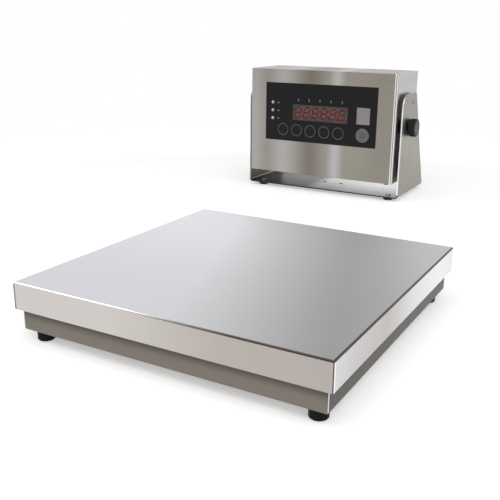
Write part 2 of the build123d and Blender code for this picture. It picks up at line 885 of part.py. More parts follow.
def bracket():
    """A folded U whose arms lean forward from a wide base to a narrow rounded top."""
    section = channel(2 * arm_outer_x, arm_height, bracket_sheet, bracket_fold_radius)
    folded = Pos(0, 0, bracket_bottom) * extrude(Plane.XZ * section, -(bracket_setback + bracket_depth))
    profile = Polygon(
        (bracket_setback, 0),
        (bracket_setback, arm_height),
        (bracket_setback + arm_top, arm_height),
        (bracket_setback + bracket_depth, 0),
        align=None,
    )
    top_corners = profile.vertices().group_by(Axis.Y)[-1].sort_by(Axis.X)
    profile = fillet(top_corners[0], arm_front_radius)
    top_corners = profile.vertices().group_by(Axis.Y)[-1].sort_by(Axis.X)
    profile = fillet(top_corners[-1], arm_rear_radius)
    side_shape = Pos(0, 0, bracket_bottom) * extrude(Plane.YZ * profile, arm_outer_x, both=True)
    body = folded & side_shape
    for side in (-1, 1):
        hole_at = (side * arm_inner_x, axis_setback, case_middle)
        body -= rod_side(screw_hole(knob_stud_diameter), bracket_sheet, hole_at, side)
        base_at = (side * bracket_hole_spacing / 2, bracket_setback + bracket_hole_setback, bracket_bottom)
        body -= rod(bracket_hole_diameter, bracket_sheet, base_at)
    for x, y in bracket_foot_places():
        body -= rod(screw_hole(foot_screw_diameter), bracket_sheet, (x, y, bracket_bottom))
    return body


def bracket_feet():
    """Tapered rubber feet."""
    top = bracket_foot_diameter / 2
    bore = tapped_hole(foot_screw_diameter)
    return group(
        Pos(x, y, 0)
        * (
            Cone(top - bracket_foot_taper, top, bracket_foot_height, align=UPRIGHT)
            - rod(bore, bracket_foot_height - bracket_foot_sole, (0, 0, bracket_foot_sole))
        )
        for x, y in bracket_foot_places()
    )


def bracket_foot_screws():
    """Button-head screws that hold the rubber feet."""
    shank = bracket_floor - bracket_foot_sole - foot_screw_end_gap
    screws = []
    for x, y in bracket_foot_places():
        head = rod(head_ratio * foot_screw_diameter, foot_screw_head, (x, y, bracket_floor))
        head = fillet(head.faces().sort_by(Axis.Z)[-1].edges(), foot_screw_head_radius)
        screws.append(head + rod(foot_screw_diameter, shank, (x, y, bracket_floor - shank)))
    return group(screws)


# Tilt axis: bosses, washers, studs and knobs

def side_bosses():
    """Tapped bosses welded inside the case walls."""
    bosses = []
    for side in (-1, 1):
        inner = (side * (case_width / 2 - case_sheet - boss_length), axis_setback, case_middle)
        boss = rod_side(boss_diameter, boss_length, inner, side)
        bosses.append(boss - rod_side(tapped_hole(knob_stud_diameter), boss_length, inner, side))
    return group(bosses)


def tilt_washers():
    """Friction washers between the case and the arms."""
    washers = []
    for side in (-1, 1):
        start = (side * case_width / 2, axis_setback, case_middle)
        thickness = arm_gap - edge_gap / 2
        washer = rod_side(washer_diameter, thickness, start, side)
        washers.append(washer - rod_side(screw_hole(knob_stud_diameter), thickness, start, side))
    return group(washers)


def knob_stud(side):
    """The threaded stud from a knob, through the arm and the washer into the boss."""
    knob_face = arm_outer_x + running_gap
    end = knob_face + knob_stud_depth
    start = case_width / 2 - case_sheet - knob_grip
    at = (side * start, axis_setback, case_middle)
    return rod_side(knob_stud_diameter, end - start, at, side)


def knob(side):
    """A fluted knob with a hub that bears on the arm, and a flat face inside a rounded rim."""
    grip_length = knob_length - knob_hub
    grip = extrude(fluted(knob_diameter, knob_flute_count, knob_flute_depth), grip_length)
    blank = Cylinder(knob_diameter / 2, grip_length, align=UPRIGHT)
    blank = fillet(blank.faces().sort_by(Axis.Z)[-1].edges(), knob_rim_radius)
    blank = fillet(blank.faces().sort_by(Axis.Z)[0].edges(), knob_back_radius)
    grip &= blank
    face_diameter = knob_diameter - 2 * knob_rim_width
    grip -= rod(face_diameter, knob_dish, (0, 0, grip_length - knob_dish))
    body = Pos(0, 0, knob_hub) * grip + rod(knob_hub_diameter, knob_hub, (0, 0, 0))
    body -= rod(tapped_hole(knob_stud_diameter), knob_stud_depth, (0, 0, 0))
    at = Pos(side * (arm_outer_x + running_gap), axis_setback, case_middle)
    return at * Rot(0, 90 * side, 0) * body


# Every node by name

def platform_nodes():
    nodes = {
        "platform_pan": platform_pan(),
        "pan_pads": pan_pads(),
        "platter_frame": platter_frame(),
        "cell_bolts_upper": cell_bolts_upper(),
        "cell_spacer_upper": cell_spacer_upper(),
        "load_cell": load_cell(),
        "cell_spacer_lower": cell_spacer_lower(),
        "cell_bolts_lower": cell_bolts_lower(),
        "base_frame": base_frame(),
        "cross_beam": cross_beam(),
        "stop_screws": stop_screws(),
        "stop_nuts": stop_nuts(),
        "foot_nuts": foot_nuts(),
        "level_holder": level_holder(),
        "level_vial": level_vial(),
        "platform_gland": platform_gland_place() * gland_body(tube_wall),
        "platform_gland_nut": platform_gland_place() * gland_nut(),
    }
    for (sx, sy), name in zip(CORNERS, CORNER_NAMES):
        nodes[f"foot_pad_{name}"] = foot_pad(sx * foot_x, sy * foot_y)
        nodes[f"foot_stud_{name}"] = foot_stud(sx * foot_x, sy * foot_y)
    return nodes


def indicator_nodes():
    nodes = {
        "front_housing": front_housing(),
        "rear_cover": rear_cover(),
        "case_gasket": case_gasket(),
        "cover_screws": cover_screws(),
        "case_bumpers": case_bumpers(),
        "overlay": overlay(),
        "display_window": display_window(),
        "display_module": display_module(),
        "status_lamps": status_lamps(),
        "dome_switches": dome_switches(),
        "display_board": display_board(),
        "board_standoffs": board_standoffs(),
        "board_screws": board_screws(),
        "main_board": main_board(),
        "main_standoffs": main_standoffs(),
        "power_module": power_module(),
        "battery_pack": battery_pack(),
        "battery_clamp": battery_clamp(),
        "case_glands": group(place * gland_body(cover_sheet) for place in case_gland_places()),
        "case_gland_nuts": group(place * gland_nut() for place in case_gland_places()),
        "bracket": bracket(),
        "bracket_feet": bracket_feet(),
        "bracket_foot_screws": bracket_foot_screws(),
        "side_bosses": side_bosses(),
        "tilt_washers": tilt_washers(),
        "knob_stud_left": knob_stud(-1),
        "knob_stud_right": knob_stud(1),
        "knob_left": knob(-1),
        "knob_right": knob(1),
    }
    for x, diameter, name in key_layout():
        nodes[name] = key(x, diameter)
    return nodes


def save(name, place, shape):
    """Writes one node, with each of its solids at its own place."""
    solids = (place * shape).solids()
    export_step(solids[0] if len(solids) == 1 else Compound(solids), f"parts/{name}.step")


os.makedirs("parts", exist_ok=True)
for name, shape in platform_nodes().items():
    save(name, Pos(platform_x, platform_y, 0), shape)
for name, shape in indicator_nodes().items():
    save(name, Pos(indicator_x, indicator_y, 0), shape)
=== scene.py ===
# %% [markdown]
# # A bench scale, dressed for its portrait
# The solids of this scale come from the CAD model, and this lesson gives them their looks.

# %% Load the frame
import math

import bmesh
import bpy
from mathutils import Matrix, Vector


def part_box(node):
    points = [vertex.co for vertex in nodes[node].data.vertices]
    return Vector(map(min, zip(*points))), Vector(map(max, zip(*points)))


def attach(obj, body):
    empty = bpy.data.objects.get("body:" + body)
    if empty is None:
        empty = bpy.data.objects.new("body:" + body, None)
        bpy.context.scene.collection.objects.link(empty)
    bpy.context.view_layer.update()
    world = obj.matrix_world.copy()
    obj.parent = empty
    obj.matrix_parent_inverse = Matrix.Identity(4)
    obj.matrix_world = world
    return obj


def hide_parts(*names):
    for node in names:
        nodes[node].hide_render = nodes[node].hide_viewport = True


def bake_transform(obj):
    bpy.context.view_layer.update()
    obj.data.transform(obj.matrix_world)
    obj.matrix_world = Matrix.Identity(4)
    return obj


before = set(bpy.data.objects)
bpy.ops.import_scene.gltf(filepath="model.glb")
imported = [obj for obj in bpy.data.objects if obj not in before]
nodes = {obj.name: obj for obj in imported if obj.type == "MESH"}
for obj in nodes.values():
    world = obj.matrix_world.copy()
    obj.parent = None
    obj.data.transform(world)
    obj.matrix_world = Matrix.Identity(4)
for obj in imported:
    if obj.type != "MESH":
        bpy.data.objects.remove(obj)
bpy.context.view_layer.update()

# %% [markdown]
# ## Where the pieces are
# Every later piece is placed from the boxes of the solids, never from typed positions. If the scale
# changes size, the digits, seams and marks follow it.

# %% Boxes of the main pieces
pan_low, pan_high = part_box("platform_pan")
frame_low, frame_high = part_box("base_frame")
case_low, case_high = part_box("front_housing")
overlay_low, overlay_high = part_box("overlay")
window_low, window_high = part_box("display_window")
bracket_low, bracket_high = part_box("bracket")
print("pan:", pan_low, pan_high)
print("case:", case_low, case_high)
print("overlay:", overlay_low, overlay_high)

# %% [markdown]
# ## The camera
# A lens is a ratio: the focal length in pixels over the picture's width in pixels, times the sensor's
# width. The camera's three axes are built from its heading, its downward pitch and a slight roll. The
# platform's four corners in the photograph give all of these values.

# %% Camera
photo_width = 500
focal_length = 726.58
sensor_width = 36.0
camera_offset = Vector((0.3169, -0.5596, 0.2707))
heading = math.radians(-29.5697)
pitch = math.radians(17.4562)
roll = 0.0084311


def camera_axes():
    forward = Vector((
        math.sin(heading) * math.cos(pitch),
        math.cos(heading) * math.cos(pitch),
        -math.sin(pitch),
    ))
    level_right = Vector((math.cos(heading), -math.sin(heading), 0))
    level_up = level_right.cross(forward)
    right = level_right * math.cos(roll) + level_up * math.sin(roll)
    return right, right.cross(forward), forward


pan_middle = (pan_low + pan_high) / 2
camera_data = bpy.data.cameras.new("camera")
camera_data.sensor_width = sensor_width
camera_data.lens = focal_length / photo_width * sensor_width
camera = bpy.data.objects.new("camera", camera_data)
bpy.context.scene.collection.objects.link(camera)
right, up, forward = camera_axes()
turned = Matrix((right, up, -forward)).transposed().to_4x4()
platform_foot = Matrix.Translation((pan_middle.x, pan_middle.y, 0))
camera.matrix_world = platform_foot @ Matrix.Translation(camera_offset) @ turned
bpy.context.scene.camera = camera
print("camera at:", [round(v, 3) for v in camera.matrix_world.translation])
print("lens:", round(camera_data.lens, 2), "mm")

# %% [markdown]
# ## Node helpers
# A material is a small graph. These helpers keep the graph short to write: one makes a node and plugs
# its inputs, one does arithmetic, and one blends two colours. An input may be a number, a colour or
# another node's output.

# %% Helpers for shader graphs
def plug(tree, socket, value):
    """Connects an output, or sets a plain value."""
    if isinstance(value, bpy.types.NodeSocket):
        tree.links.new(value, socket)
    else:
        socket.default_value = value


def add_node(tree, kind, settings=None, **inputs):
    """Makes a node and plugs the inputs that are named; an underscore stands for a space."""
    node = tree.nodes.new(kind)
    for key, value in (settings or {}).items():
        setattr(node, key, value)
    for key, value in inputs.items():
        plug(tree, node.inputs[key.replace("_", " ")], value)
    return node


def arithmetic(tree, operation, *values, clamp=False):
    node = tree.nodes.new("ShaderNodeMath")
    node.operation = operation
    node.use_clamp = clamp
    for socket, value in zip(node.inputs, values):
        plug(tree, socket, value)
    return node.outputs[0]


def blend_colours(tree, amount, first, second, mode="MIX"):
    node = tree.nodes.new("ShaderNodeMix")
    node.data_type = "RGBA"
    node.blend_type = mode
    plug(tree, node.inputs[0], amount)
    plug(tree, node.inputs[6], first)
    plug(tree, node.inputs[7], second)
    return node.outputs[2]


def blend_vectors(tree, amount, first, second):
    node = tree.nodes.new("ShaderNodeMix")
    node.data_type = "VECTOR"
    plug(tree, node.inputs[0], amount)
    plug(tree, node.inputs[4], first)
    plug(tree, node.inputs[5], second)
    return node.outputs[1]


def vector_maths(tree, operation, first, second):
    node = tree.nodes.new("ShaderNodeVectorMath")
    node.operation = operation
    plug(tree, node.inputs[0], first)
    plug(tree, node.inputs["Scale"] if operation == "SCALE" else node.inputs[1], second)
    return node.outputs["Value" if operation == "DOT_PRODUCT" else "Vector"]


def rescale(tree, value, from_low, from_high, to_low, to_high):
    """Maps one range onto another, with soft shoulders."""
    node = tree.nodes.new("ShaderNodeMapRange")
    node.interpolation_type = "SMOOTHSTEP"
    for socket, amount in zip(node.inputs, (value, from_low, from_high, to_low, to_high)):
        plug(tree, socket, amount)
    return node.outputs[0]


def noise(tree, place, scale, detail=2.0):
    return add_node(tree, "ShaderNodeTexNoise", Vector=place, Scale=scale, Detail=detail).outputs[0]


def axis_value(tree, axis):
    """The object's own coordinate along X, Y or Z, in metres."""
    place = tree.nodes.new("ShaderNodeTexCoord").outputs["Object"]
    return add_node(tree, "ShaderNodeSeparateXYZ", Vector=place).outputs[axis]


def face_normal(tree):
    """The three parts of the surface's own direction, in the frame of the object."""
    normal = tree.nodes.new("ShaderNodeTexCoord").outputs["Normal"]
    parts = add_node(tree, "ShaderNodeSeparateXYZ", Vector=normal).outputs
    return parts["X"], parts["Y"], parts["Z"]


def between(tree, value, low, high):
    """One where a value lies between two bounds, and zero elsewhere."""
    above = arithmetic(tree, "GREATER_THAN", value, low)
    return arithmetic(tree, "MULTIPLY", above, arithmetic(tree, "LESS_THAN", value, high))


def facing(tree, part, least=0.9):
    """One on faces that look mostly along an axis, given that part of their direction."""
    return arithmetic(tree, "GREATER_THAN", part, least)


def colour_ramp(tree, value, low, high, stops):
    """Colours along a coordinate: each stop is a share of the way and a colour."""
    share = add_node(tree, "ShaderNodeMapRange")
    for socket, amount in zip(share.inputs, (value, low, high, 0.0, 1.0)):
        plug(tree, socket, amount)
    ramp = add_node(tree, "ShaderNodeValToRGB", Fac=share.outputs[0])
    points = ramp.color_ramp.elements
    while len(points) < len(stops):
        points.new(0.5)
    for point, (place, colour) in zip(points, stops):
        point.position = place
        point.color = (*colour, 1.0)
    return ramp.outputs[0]


# %% [markdown]
# ## Shared effects as node groups
# Brushed grain, a moulded skin and soft thin lines come back on many pieces. Each effect is built once
# as a node group with named sockets. The group gives out plain numbers, and each material decides what
# they change: colour, roughness or bump.

# %% Group maker
def new_group(name, inputs, outputs):
    group = bpy.data.node_groups.new(name, "ShaderNodeTree")
    for label, kind, value in inputs:
        socket = group.interface.new_socket(label, in_out="INPUT", socket_type=f"NodeSocket{kind}")
        socket.default_value = value
    for label in outputs:
        group.interface.new_socket(label, in_out="OUTPUT", socket_type="NodeSocketFloat")
    return group, group.nodes.new("NodeGroupInput"), group.nodes.new("NodeGroupOutput")


def use_group(tree, group, **inputs):
    node = tree.nodes.new("ShaderNodeGroup")
    node.node_tree = group
    for key, value in inputs.items():
        plug(tree, node.inputs[key.replace("_", " ")], value)
    return node.outputs


# %% Brushed grain
streak_scale = 0.12
side_slope = 0.7


def make_brushed_grain():
    """Fine lines left by an abrasive belt, and slow clouds where the belt pressed unevenly."""
    group, source, sink = new_group(
        "brushed grain",
        [
            ("Lines", "Vector", (20, 900, 900)),
            ("Side Lines", "Vector", (900, 20, 900)),
            ("Cloud Size", "Float", 8.0),
        ],
        ["Grain", "Streak", "Cloud"],
    )
    coordinates = group.nodes.new("ShaderNodeTexCoord").outputs
    place = coordinates["Object"]
    sideways = add_node(group, "ShaderNodeSeparateXYZ", Vector=coordinates["Normal"]).outputs["X"]
    faces_side = facing(group, arithmetic(group, "ABSOLUTE", sideways), side_slope)
    direction = blend_vectors(group, faces_side, source.outputs["Lines"], source.outputs["Side Lines"])
    fine = vector_maths(group, "MULTIPLY", place, direction)
    plug(group, sink.inputs["Grain"], noise(group, fine, 1.0, detail=3.0))
    plug(group, sink.inputs["Streak"], noise(group, fine, streak_scale))
    plug(group, sink.inputs["Cloud"], noise(group, place, source.outputs["Cloud Size"]))
    return group


brushed_grain = make_brushed_grain()
print("group:", brushed_grain.name, [item.name for item in brushed_grain.interface.items_tree])


# %% Moulded texture
sheen_scale = 60.0


def make_moulded_texture():
    """The fine spark-eroded skin of a moulded part, with a slow change of sheen."""
    group, source, sink = new_group(
        "moulded texture", [("Pebble Size", "Float", 900.0)], ["Pebbles", "Sheen"]
    )
    place = group.nodes.new("ShaderNodeTexCoord").outputs["Object"]
    plug(group, sink.inputs["Pebbles"], noise(group, place, source.outputs["Pebble Size"]))
    plug(group, sink.inputs["Sheen"], noise(group, place, sheen_scale))
    return group


moulded_texture = make_moulded_texture()
print("group:", moulded_texture.name)


# %% Thin line
def make_thin_line():
    """One where a coordinate lies on a line, falling to zero at its edge."""
    group, source, sink = new_group(
        "thin line",
        [("Place", "Float", 0.0), ("Centre", "Float", 0.0), ("Half Width", "Float", 0.001)],
        ["Mask"],
    )
    away = arithmetic(group, "SUBTRACT", source.outputs["Place"], source.outputs["Centre"])
    share = arithmetic(group, "DIVIDE", arithmetic(group, "ABSOLUTE", away), source.outputs["Half Width"])
    plug(group, sink.inputs["Mask"], rescale(group, share, 0.0, 1.0, 1.0, 0.0))
    return group


thin_line = make_thin_line()
print("group:", thin_line.name)

# %% [markdown]
# ## Materials
# A metal shows its surroundings, so its colour is set a little darker than it looks under white light.
# The brushed lines nudge the colour and the roughness together, because a scratch both scatters light
# and shades itself. Plastics and rubber get a fine pebble bump instead.

# %% Shader starters
def new_material(name, roughness, metallic=0.0, **sockets):
    material = bpy.data.materials.new(name)
    material.use_nodes = True
    shader = material.node_tree.nodes["Principled BSDF"]
    shader.inputs["Roughness"].default_value = roughness
    shader.inputs["Metallic"].default_value = metallic
    for key, value in sockets.items():
        shader.inputs[key.replace("_", " ")].default_value = value
    return material, material.node_tree, shader.inputs


def add_bump(tree, inputs, height, strength, distance=0.0002):
    bump = add_node(tree, "ShaderNodeBump", Height=height, Strength=strength, Distance=distance)
    tree.links.new(bump.outputs[0], inputs["Normal"])


def shade(colour, factor):
    return (*[min(1.0, channel * factor) for channel in colour], 1.0)


# %% Brushed steel
white = (1.0, 1.0, 1.0, 1.0)
along_x = (14, 700, 700)
along_y = (700, 14, 700)
along_z = (700, 700, 14)
every_way = (300, 300, 300)
grain_share, streak_share, cloud_share = 0.3, 0.4, 0.3
noise_range = (0.3, 0.7)
roughness_share = 0.25


def brushed_steel(
    name, colour, roughness, lines=along_x, side_lines=along_y, contrast=0.1, cloud_size=8.0, scratch=0.12
):
    """Ground steel: the grain nudges its colour by the contrast, and the scratch its roughness and bump."""
    material, tree, inputs = new_material(name, roughness, metallic=1.0)
    grain = use_group(tree, brushed_grain, Lines=lines, Side_Lines=side_lines, Cloud_Size=cloud_size)
    fine = arithmetic(tree, "MULTIPLY", grain["Grain"], grain_share)
    streaky = arithmetic(tree, "MULTIPLY_ADD", grain["Streak"], streak_share, fine)
    mixed = arithmetic(tree, "MULTIPLY_ADD", grain["Cloud"], cloud_share, streaky)
    tone = rescale(tree, mixed, *noise_range, 0.0, 1.0)
    base = blend_colours(tree, tone, shade(colour, 1 - contrast), shade(colour, 1 + contrast))
    plug(tree, inputs["Base Color"], base)
    spread = roughness_share * scratch
    rough = rescale(tree, grain["Streak"], *noise_range, roughness - spread, roughness + spread)
    plug(tree, inputs["Roughness"], rough)
    add_bump(tree, inputs, grain["Grain"], scratch)
    return material


# %% Painted light, shade and seams on top of the grain
front_slope = -0.5


def base_colour(material):
    """The base colour's socket, and the output that feeds it."""
    shader = material.node_tree.nodes["Principled BSDF"]
    return shader.inputs["Base Color"], shader.inputs["Base Color"].links[0].from_socket


def tint(tree, base, amount, colour):
    """Lays a tone over the base colour, by a mask from zero to one."""
    return blend_colours(tree, amount, base, colour)


# %% Case steel, with soft upright bands of painted reflection
# Painted reflection: pale and brown upright bands across the front, standing for the room mirrored in the
# steel.
reflection_band_places = (
    (0.03, 0.10, 0.45), (0.24, 0.13, 0.55), (0.44, 0.12, -0.68), (0.615, 0.07, 0.85), (0.9, 0.16, -0.12),
)
pale_reflection_tint = (0.50, 0.49, 0.50, 1.0)
dark_reflection_tint = (0.165, 0.14, 0.125, 1.0)
# Painted light: the sides of the case are tinted lighter.
painted_side_light = (0.50, 0.49, 0.49, 1.0)
# Painted highlights: white on the bent edges whose faces turn right by these shares.
edge_glints = ((0.2, 0.45), (0.75, 0.88))


def add_case_painted_light(material, low, high):
    """Painted light: reflection bands across the front (place, half width, strength), a lighter painted side
    and painted highlights on the bent edges.
    """
    tree = material.node_tree
    socket, base = base_colour(material)
    across = axis_value(tree, "X")
    width = high - low
    # Each band lays a painted reflection over the base colour.
    for share, half_width, strength in reflection_band_places:
        line = use_group(
            tree, thin_line, Place=across, Centre=low + width * share, Half_Width=half_width * width
        )
        amount = arithmetic(tree, "MULTIPLY", line["Mask"], abs(strength))
        base = blend_colours(tree, amount, base, pale_reflection_tint if strength > 0 else dark_reflection_tint)
    normal_x, _, _ = face_normal(tree)
    sideways = arithmetic(tree, "ABSOLUTE", normal_x)
    # The sides get a lighter painted light.
    base = tint(tree, base, facing(tree, sideways), painted_side_light)
    # Painted highlights on the right bent edges.
    for low_bound, high_bound in edge_glints:
        base = tint(tree, base, between(tree, normal_x, low_bound, high_bound), white)
    plug(tree, socket, base)


# %% Stops of the pan's painted light and shade
# Painted reflection: the top runs from bright at the left and back to dark at the front right, along this
# way.
light_way = Vector((0.947, 0.321, 0.0))
top_painted_light_stops = (
    (0.0, (0.665, 0.658, 0.69)), (0.40, (0.655, 0.648, 0.68)), (0.49, (0.58, 0.58, 0.59)),
    (0.58, (0.50, 0.495, 0.515)), (0.69, (0.40, 0.395, 0.40)), (0.74, (0.36, 0.36, 0.353)),
    (0.82, (0.395, 0.39, 0.395)), (0.91, (0.455, 0.445, 0.455)), (1.0, (0.47, 0.465, 0.48)),
)
# Painted reflection on the front skirt, lighter at the left, and on the side skirt, pale and warm bands
# along it.
front_painted_light_stops = (
    (0.0, (0.634, 0.597, 0.578)), (0.35, (0.62, 0.59, 0.557)), (0.7, (0.485, 0.448, 0.41)),
    (1.0, (0.46, 0.418, 0.39)),
)
side_painted_light_stops = (
    (0.0, (0.69, 0.69, 0.72)), (0.12, (0.61, 0.60, 0.595)), (0.35, (0.55, 0.52, 0.495)),
    (0.6, (0.77, 0.765, 0.80)), (0.85, (0.875, 0.875, 0.875)), (1.0, (0.83, 0.83, 0.83)),
)
top_painted_light_gain = (1.06, 1.25)
# A painted highlight along the bent front edge, white at the left, turning into painted shade at the right.
edge_highlight_and_shade_stops = (
    (0.0, (1.0, 1.0, 1.0)), (0.4, (1.0, 1.0, 1.0)), (0.56, (0.45, 0.44, 0.43)), (0.72, (0.17, 0.15, 0.14)),
    (1.0, (0.085, 0.075, 0.068)),
)
edge_slopes = (0.2, 0.9)
edge_roughness = 0.2
# Dark weld seams at the upright corners. On the bent edges that turn sideways, the same brown is painted
# shade.
seam_and_edge_shade = (0.07, 0.06, 0.055, 1.0)
end_grey = (0.22, 0.21, 0.20, 1.0)
corner_line = 0.0022
corner_slopes = (0.15, 0.9)
print("stops on the top:", len(top_painted_light_stops))


# %% Pan steel
def add_pan_painted_light(material):
    """Painted light and shade that a bright studio would leave on the top, the skirts and the bent edges, a
    painted highlight beside the front corners, a grey line at the left end, and dark corner seams.
    """
    tree = material.node_tree
    socket, grain = base_colour(material)
    place = tree.nodes.new("ShaderNodeTexCoord").outputs["Object"]
    across = vector_maths(tree, "DOT_PRODUCT", place, light_way)
    reach = (pan_high - pan_low).xy.dot(light_way.xy) / 2
    middle = pan_middle.xy.dot(light_way.xy)
    x, y = axis_value(tree, "X"), axis_value(tree, "Y")
    normal_x, normal_y, normal_z = face_normal(tree)
    sideways = arithmetic(tree, "ABSOLUTE", normal_x)
    top = colour_ramp(tree, across, middle - reach, middle + reach, top_painted_light_stops)
    # The skirts' painted reflection.
    front = colour_ramp(tree, x, pan_low.x, pan_high.x, front_painted_light_stops)
    side = colour_ramp(tree, y, pan_low.y, pan_high.y, side_painted_light_stops)
    edge = colour_ramp(tree, x, pan_low.x, pan_high.x, edge_highlight_and_shade_stops)
    faces_side = facing(tree, sideways)
    base = tint(tree, front, faces_side, side)
    # A painted highlight: a white strip on the side skirt beside the front corner.
    near_corner = between(tree, y, pan_low.y, pan_low.y + corner_line)
    base = tint(tree, base, arithmetic(tree, "MULTIPLY", near_corner, faces_side), white)
    left_end = arithmetic(tree, "LESS_THAN", x, pan_low.x + corner_line)
    faces_front = arithmetic(tree, "LESS_THAN", normal_y, front_slope)
    base = tint(tree, base, arithmetic(tree, "MULTIPLY", left_end, faces_front), end_grey)
    # Dark corner seams, and painted shade on the sideways bent edges.
    base = tint(tree, base, between(tree, sideways, *corner_slopes), seam_and_edge_shade)
    # The top's painted light, brighter towards the back.
    gain = rescale(tree, y, pan_low.y, pan_high.y, *top_painted_light_gain)
    base = tint(tree, base, facing(tree, normal_z), vector_maths(tree, "SCALE", top, gain))
    # The bent edges get their painted highlight and painted shade.
    on_edge = between(tree, normal_z, *edge_slopes)
    base = tint(tree, base, on_edge, edge)
    plug(tree, socket, blend_colours(tree, 1.0, base, grain, mode="MULTIPLY"))
    rough = tree.nodes["Principled BSDF"].inputs["Roughness"]
    smoother = arithmetic(tree, "MULTIPLY", on_edge, edge_roughness)
    rest = arithmetic(tree, "SUBTRACT", 1.0, on_edge)
    plug(tree, rough, arithmetic(tree, "MULTIPLY_ADD", rough.links[0].from_socket, rest, smoother))


# %% Frame steel
# Painted light: a shadow under the skirt, a highlight along the foot and shade on the sides.
skirt_shadow = (0.3, 0.62, 1.0, 0.46)
low_edge_light = (0.0, 0.35, 1.06, 1.0)
painted_side_shade = -0.58


def add_frame_painted_light(material):
    """A painted shadow under the pan's skirt, a painted highlight along the foot of the tube, and painted
    shade that darkens the sides.
    """
    tree = material.node_tree
    socket, base = base_colour(material)
    height = frame_high.z - frame_low.z
    z = axis_value(tree, "Z")
    levels = [
        rescale(tree, z, frame_low.z + start * height, frame_low.z + end * height, low, high)
        for start, end, low, high in (skirt_shadow, low_edge_light)
    ]
    normal_x, _, _ = face_normal(tree)
    side = facing(tree, arithmetic(tree, "ABSOLUTE", normal_x), side_slope)
    levels.append(arithmetic(tree, "MULTIPLY_ADD", side, painted_side_shade, 1.0))
    level = arithmetic(tree, "MULTIPLY", arithmetic(tree, "MULTIPLY", *levels[:2]), levels[2])
    plug(tree, socket, vector_maths(tree, "SCALE", base, level))


# %% Bracket steel
# Painted reflection on the base plate: dark at the left, bright at the right.
base_reflection_stops = (
    (0.0, (0.06, 0.055, 0.05)), (0.2, (0.09, 0.08, 0.075)), (0.38, (0.13, 0.12, 0.11)),
    (0.46, (0.62, 0.61, 0.60)), (0.8, (0.82, 0.81, 0.84)), (1.0, (0.7, 0.69, 0.70)),
)
# Painted shade along the lower front edge.
lower_edge_shade = (0.06, 0.054, 0.05, 1.0)
sheet_edge_rise = (-0.001, 0.006)


def add_bracket_painted_light(material):
    """Painted reflection on the base: the case's dark underside on its left and the bright room on its
    right. A painted highlight on forward faces and painted shade along the lower front edge.
    """
    tree = material.node_tree
    socket, base = base_colour(material)
    x, z = axis_value(tree, "X"), axis_value(tree, "Z")
    _, normal_y, normal_z = face_normal(tree)
    plate = colour_ramp(tree, x, bracket_low.x, bracket_high.x, base_reflection_stops)
    base = tint(tree, base, facing(tree, normal_z, side_slope), plate)
    forward = arithmetic(tree, "LESS_THAN", normal_y, front_slope)
    low = between(tree, z, *[bracket_low.z + rise for rise in sheet_edge_rise])
    lit_arm = arithmetic(tree, "MULTIPLY", forward, arithmetic(tree, "GREATER_THAN", x, case_low.x))
    # A painted highlight on the faces that look forward, right of the case's left side.
    base = tint(tree, base, lit_arm, white)
    base = tint(tree, base, arithmetic(tree, "MULTIPLY", forward, low), lower_edge_shade)
    plug(tree, socket, base)


# %% Moulded plastic and rubber
sheen_shades = (0.85, 1.2)
sheen_spread = (-0.06, 0.08)


def moulded(name, colour, roughness, pebble_size=900.0, strength=0.25, specular=0.5, glow=None):
    """A pebbled skin; a glow is a colour and its strength."""
    material, tree, inputs = new_material(name, roughness, Specular_IOR_Level=specular)
    skin = use_group(tree, moulded_texture, Pebble_Size=pebble_size)
    base = blend_colours(tree, skin["Sheen"], *[shade(colour, factor) for factor in sheen_shades])
    plug(tree, inputs["Base Color"], base)
    rough = rescale(tree, skin["Sheen"], *noise_range, *[roughness + change for change in sheen_spread])
    plug(tree, inputs["Roughness"], rough)
    add_bump(tree, inputs, skin["Pebbles"], strength)
    if glow:
        inputs["Emission Color"].default_value = (*glow[0], 1.0)
        inputs["Emission Strength"].default_value = glow[1]
    return material


# %% Metals
pan_steel = brushed_steel("pan steel", (1.0, 1.0, 1.0), 0.5, contrast=0.02, scratch=0.03)
add_pan_painted_light(pan_steel)
frame_steel = brushed_steel("frame steel", (0.2, 0.178, 0.155), 0.42, contrast=0.05)
add_frame_painted_light(frame_steel)
case_steel = brushed_steel("case steel", (0.317, 0.3, 0.258), 0.34, contrast=0.05, cloud_size=14.0)
add_case_painted_light(case_steel, case_low.x, case_high.x)
bracket_steel = brushed_steel(
    "bracket steel", (0.30, 0.285, 0.25), 0.36, side_lines=along_z, contrast=0.06, cloud_size=14.0
)
add_bracket_painted_light(bracket_steel)
screw_steel = brushed_steel("screw steel", (0.55, 0.55, 0.55), 0.3, lines=every_way, side_lines=every_way)
cell_aluminium = brushed_steel("cell aluminium", (0.72, 0.73, 0.74), 0.36, lines=along_y)
brass = brushed_steel("brass", (0.62, 0.45, 0.2), 0.32, lines=every_way, side_lines=every_way)
weld_steel = brushed_steel("weld steel", (0.6, 0.59, 0.575), 0.3, lines=every_way, side_lines=every_way)

# %% Paint, plastic and rubber
spider_paint = moulded("spider paint", (0.30, 0.31, 0.32), 0.45, pebble_size=500.0)
rubber = moulded("black rubber", (0.012, 0.012, 0.012), 0.7, pebble_size=700.0, specular=0.3)
foot_plastic = moulded("foot plastic", (0.004, 0.004, 0.004), 0.4, specular=0.15)
knob_plastic = moulded("knob plastic", (0.010, 0.010, 0.0105), 0.45, specular=0.35)
# Painted sheen: the knob's face disc is a lighter grey than the knob.
knob_face = moulded("knob face", (0.03, 0.03, 0.031), 0.42)
gland_plastic = moulded("gland plastic", (0.03, 0.03, 0.032), 0.5)
board_green = moulded("board green", (0.02, 0.13, 0.05), 0.4)
module_black = moulded("module black", (0.02, 0.02, 0.022), 0.5)
battery_grey = moulded("battery grey", (0.09, 0.095, 0.1), 0.5)
lamp_plastic = moulded("lamp plastic", (0.62, 0.61, 0.57), 0.3)

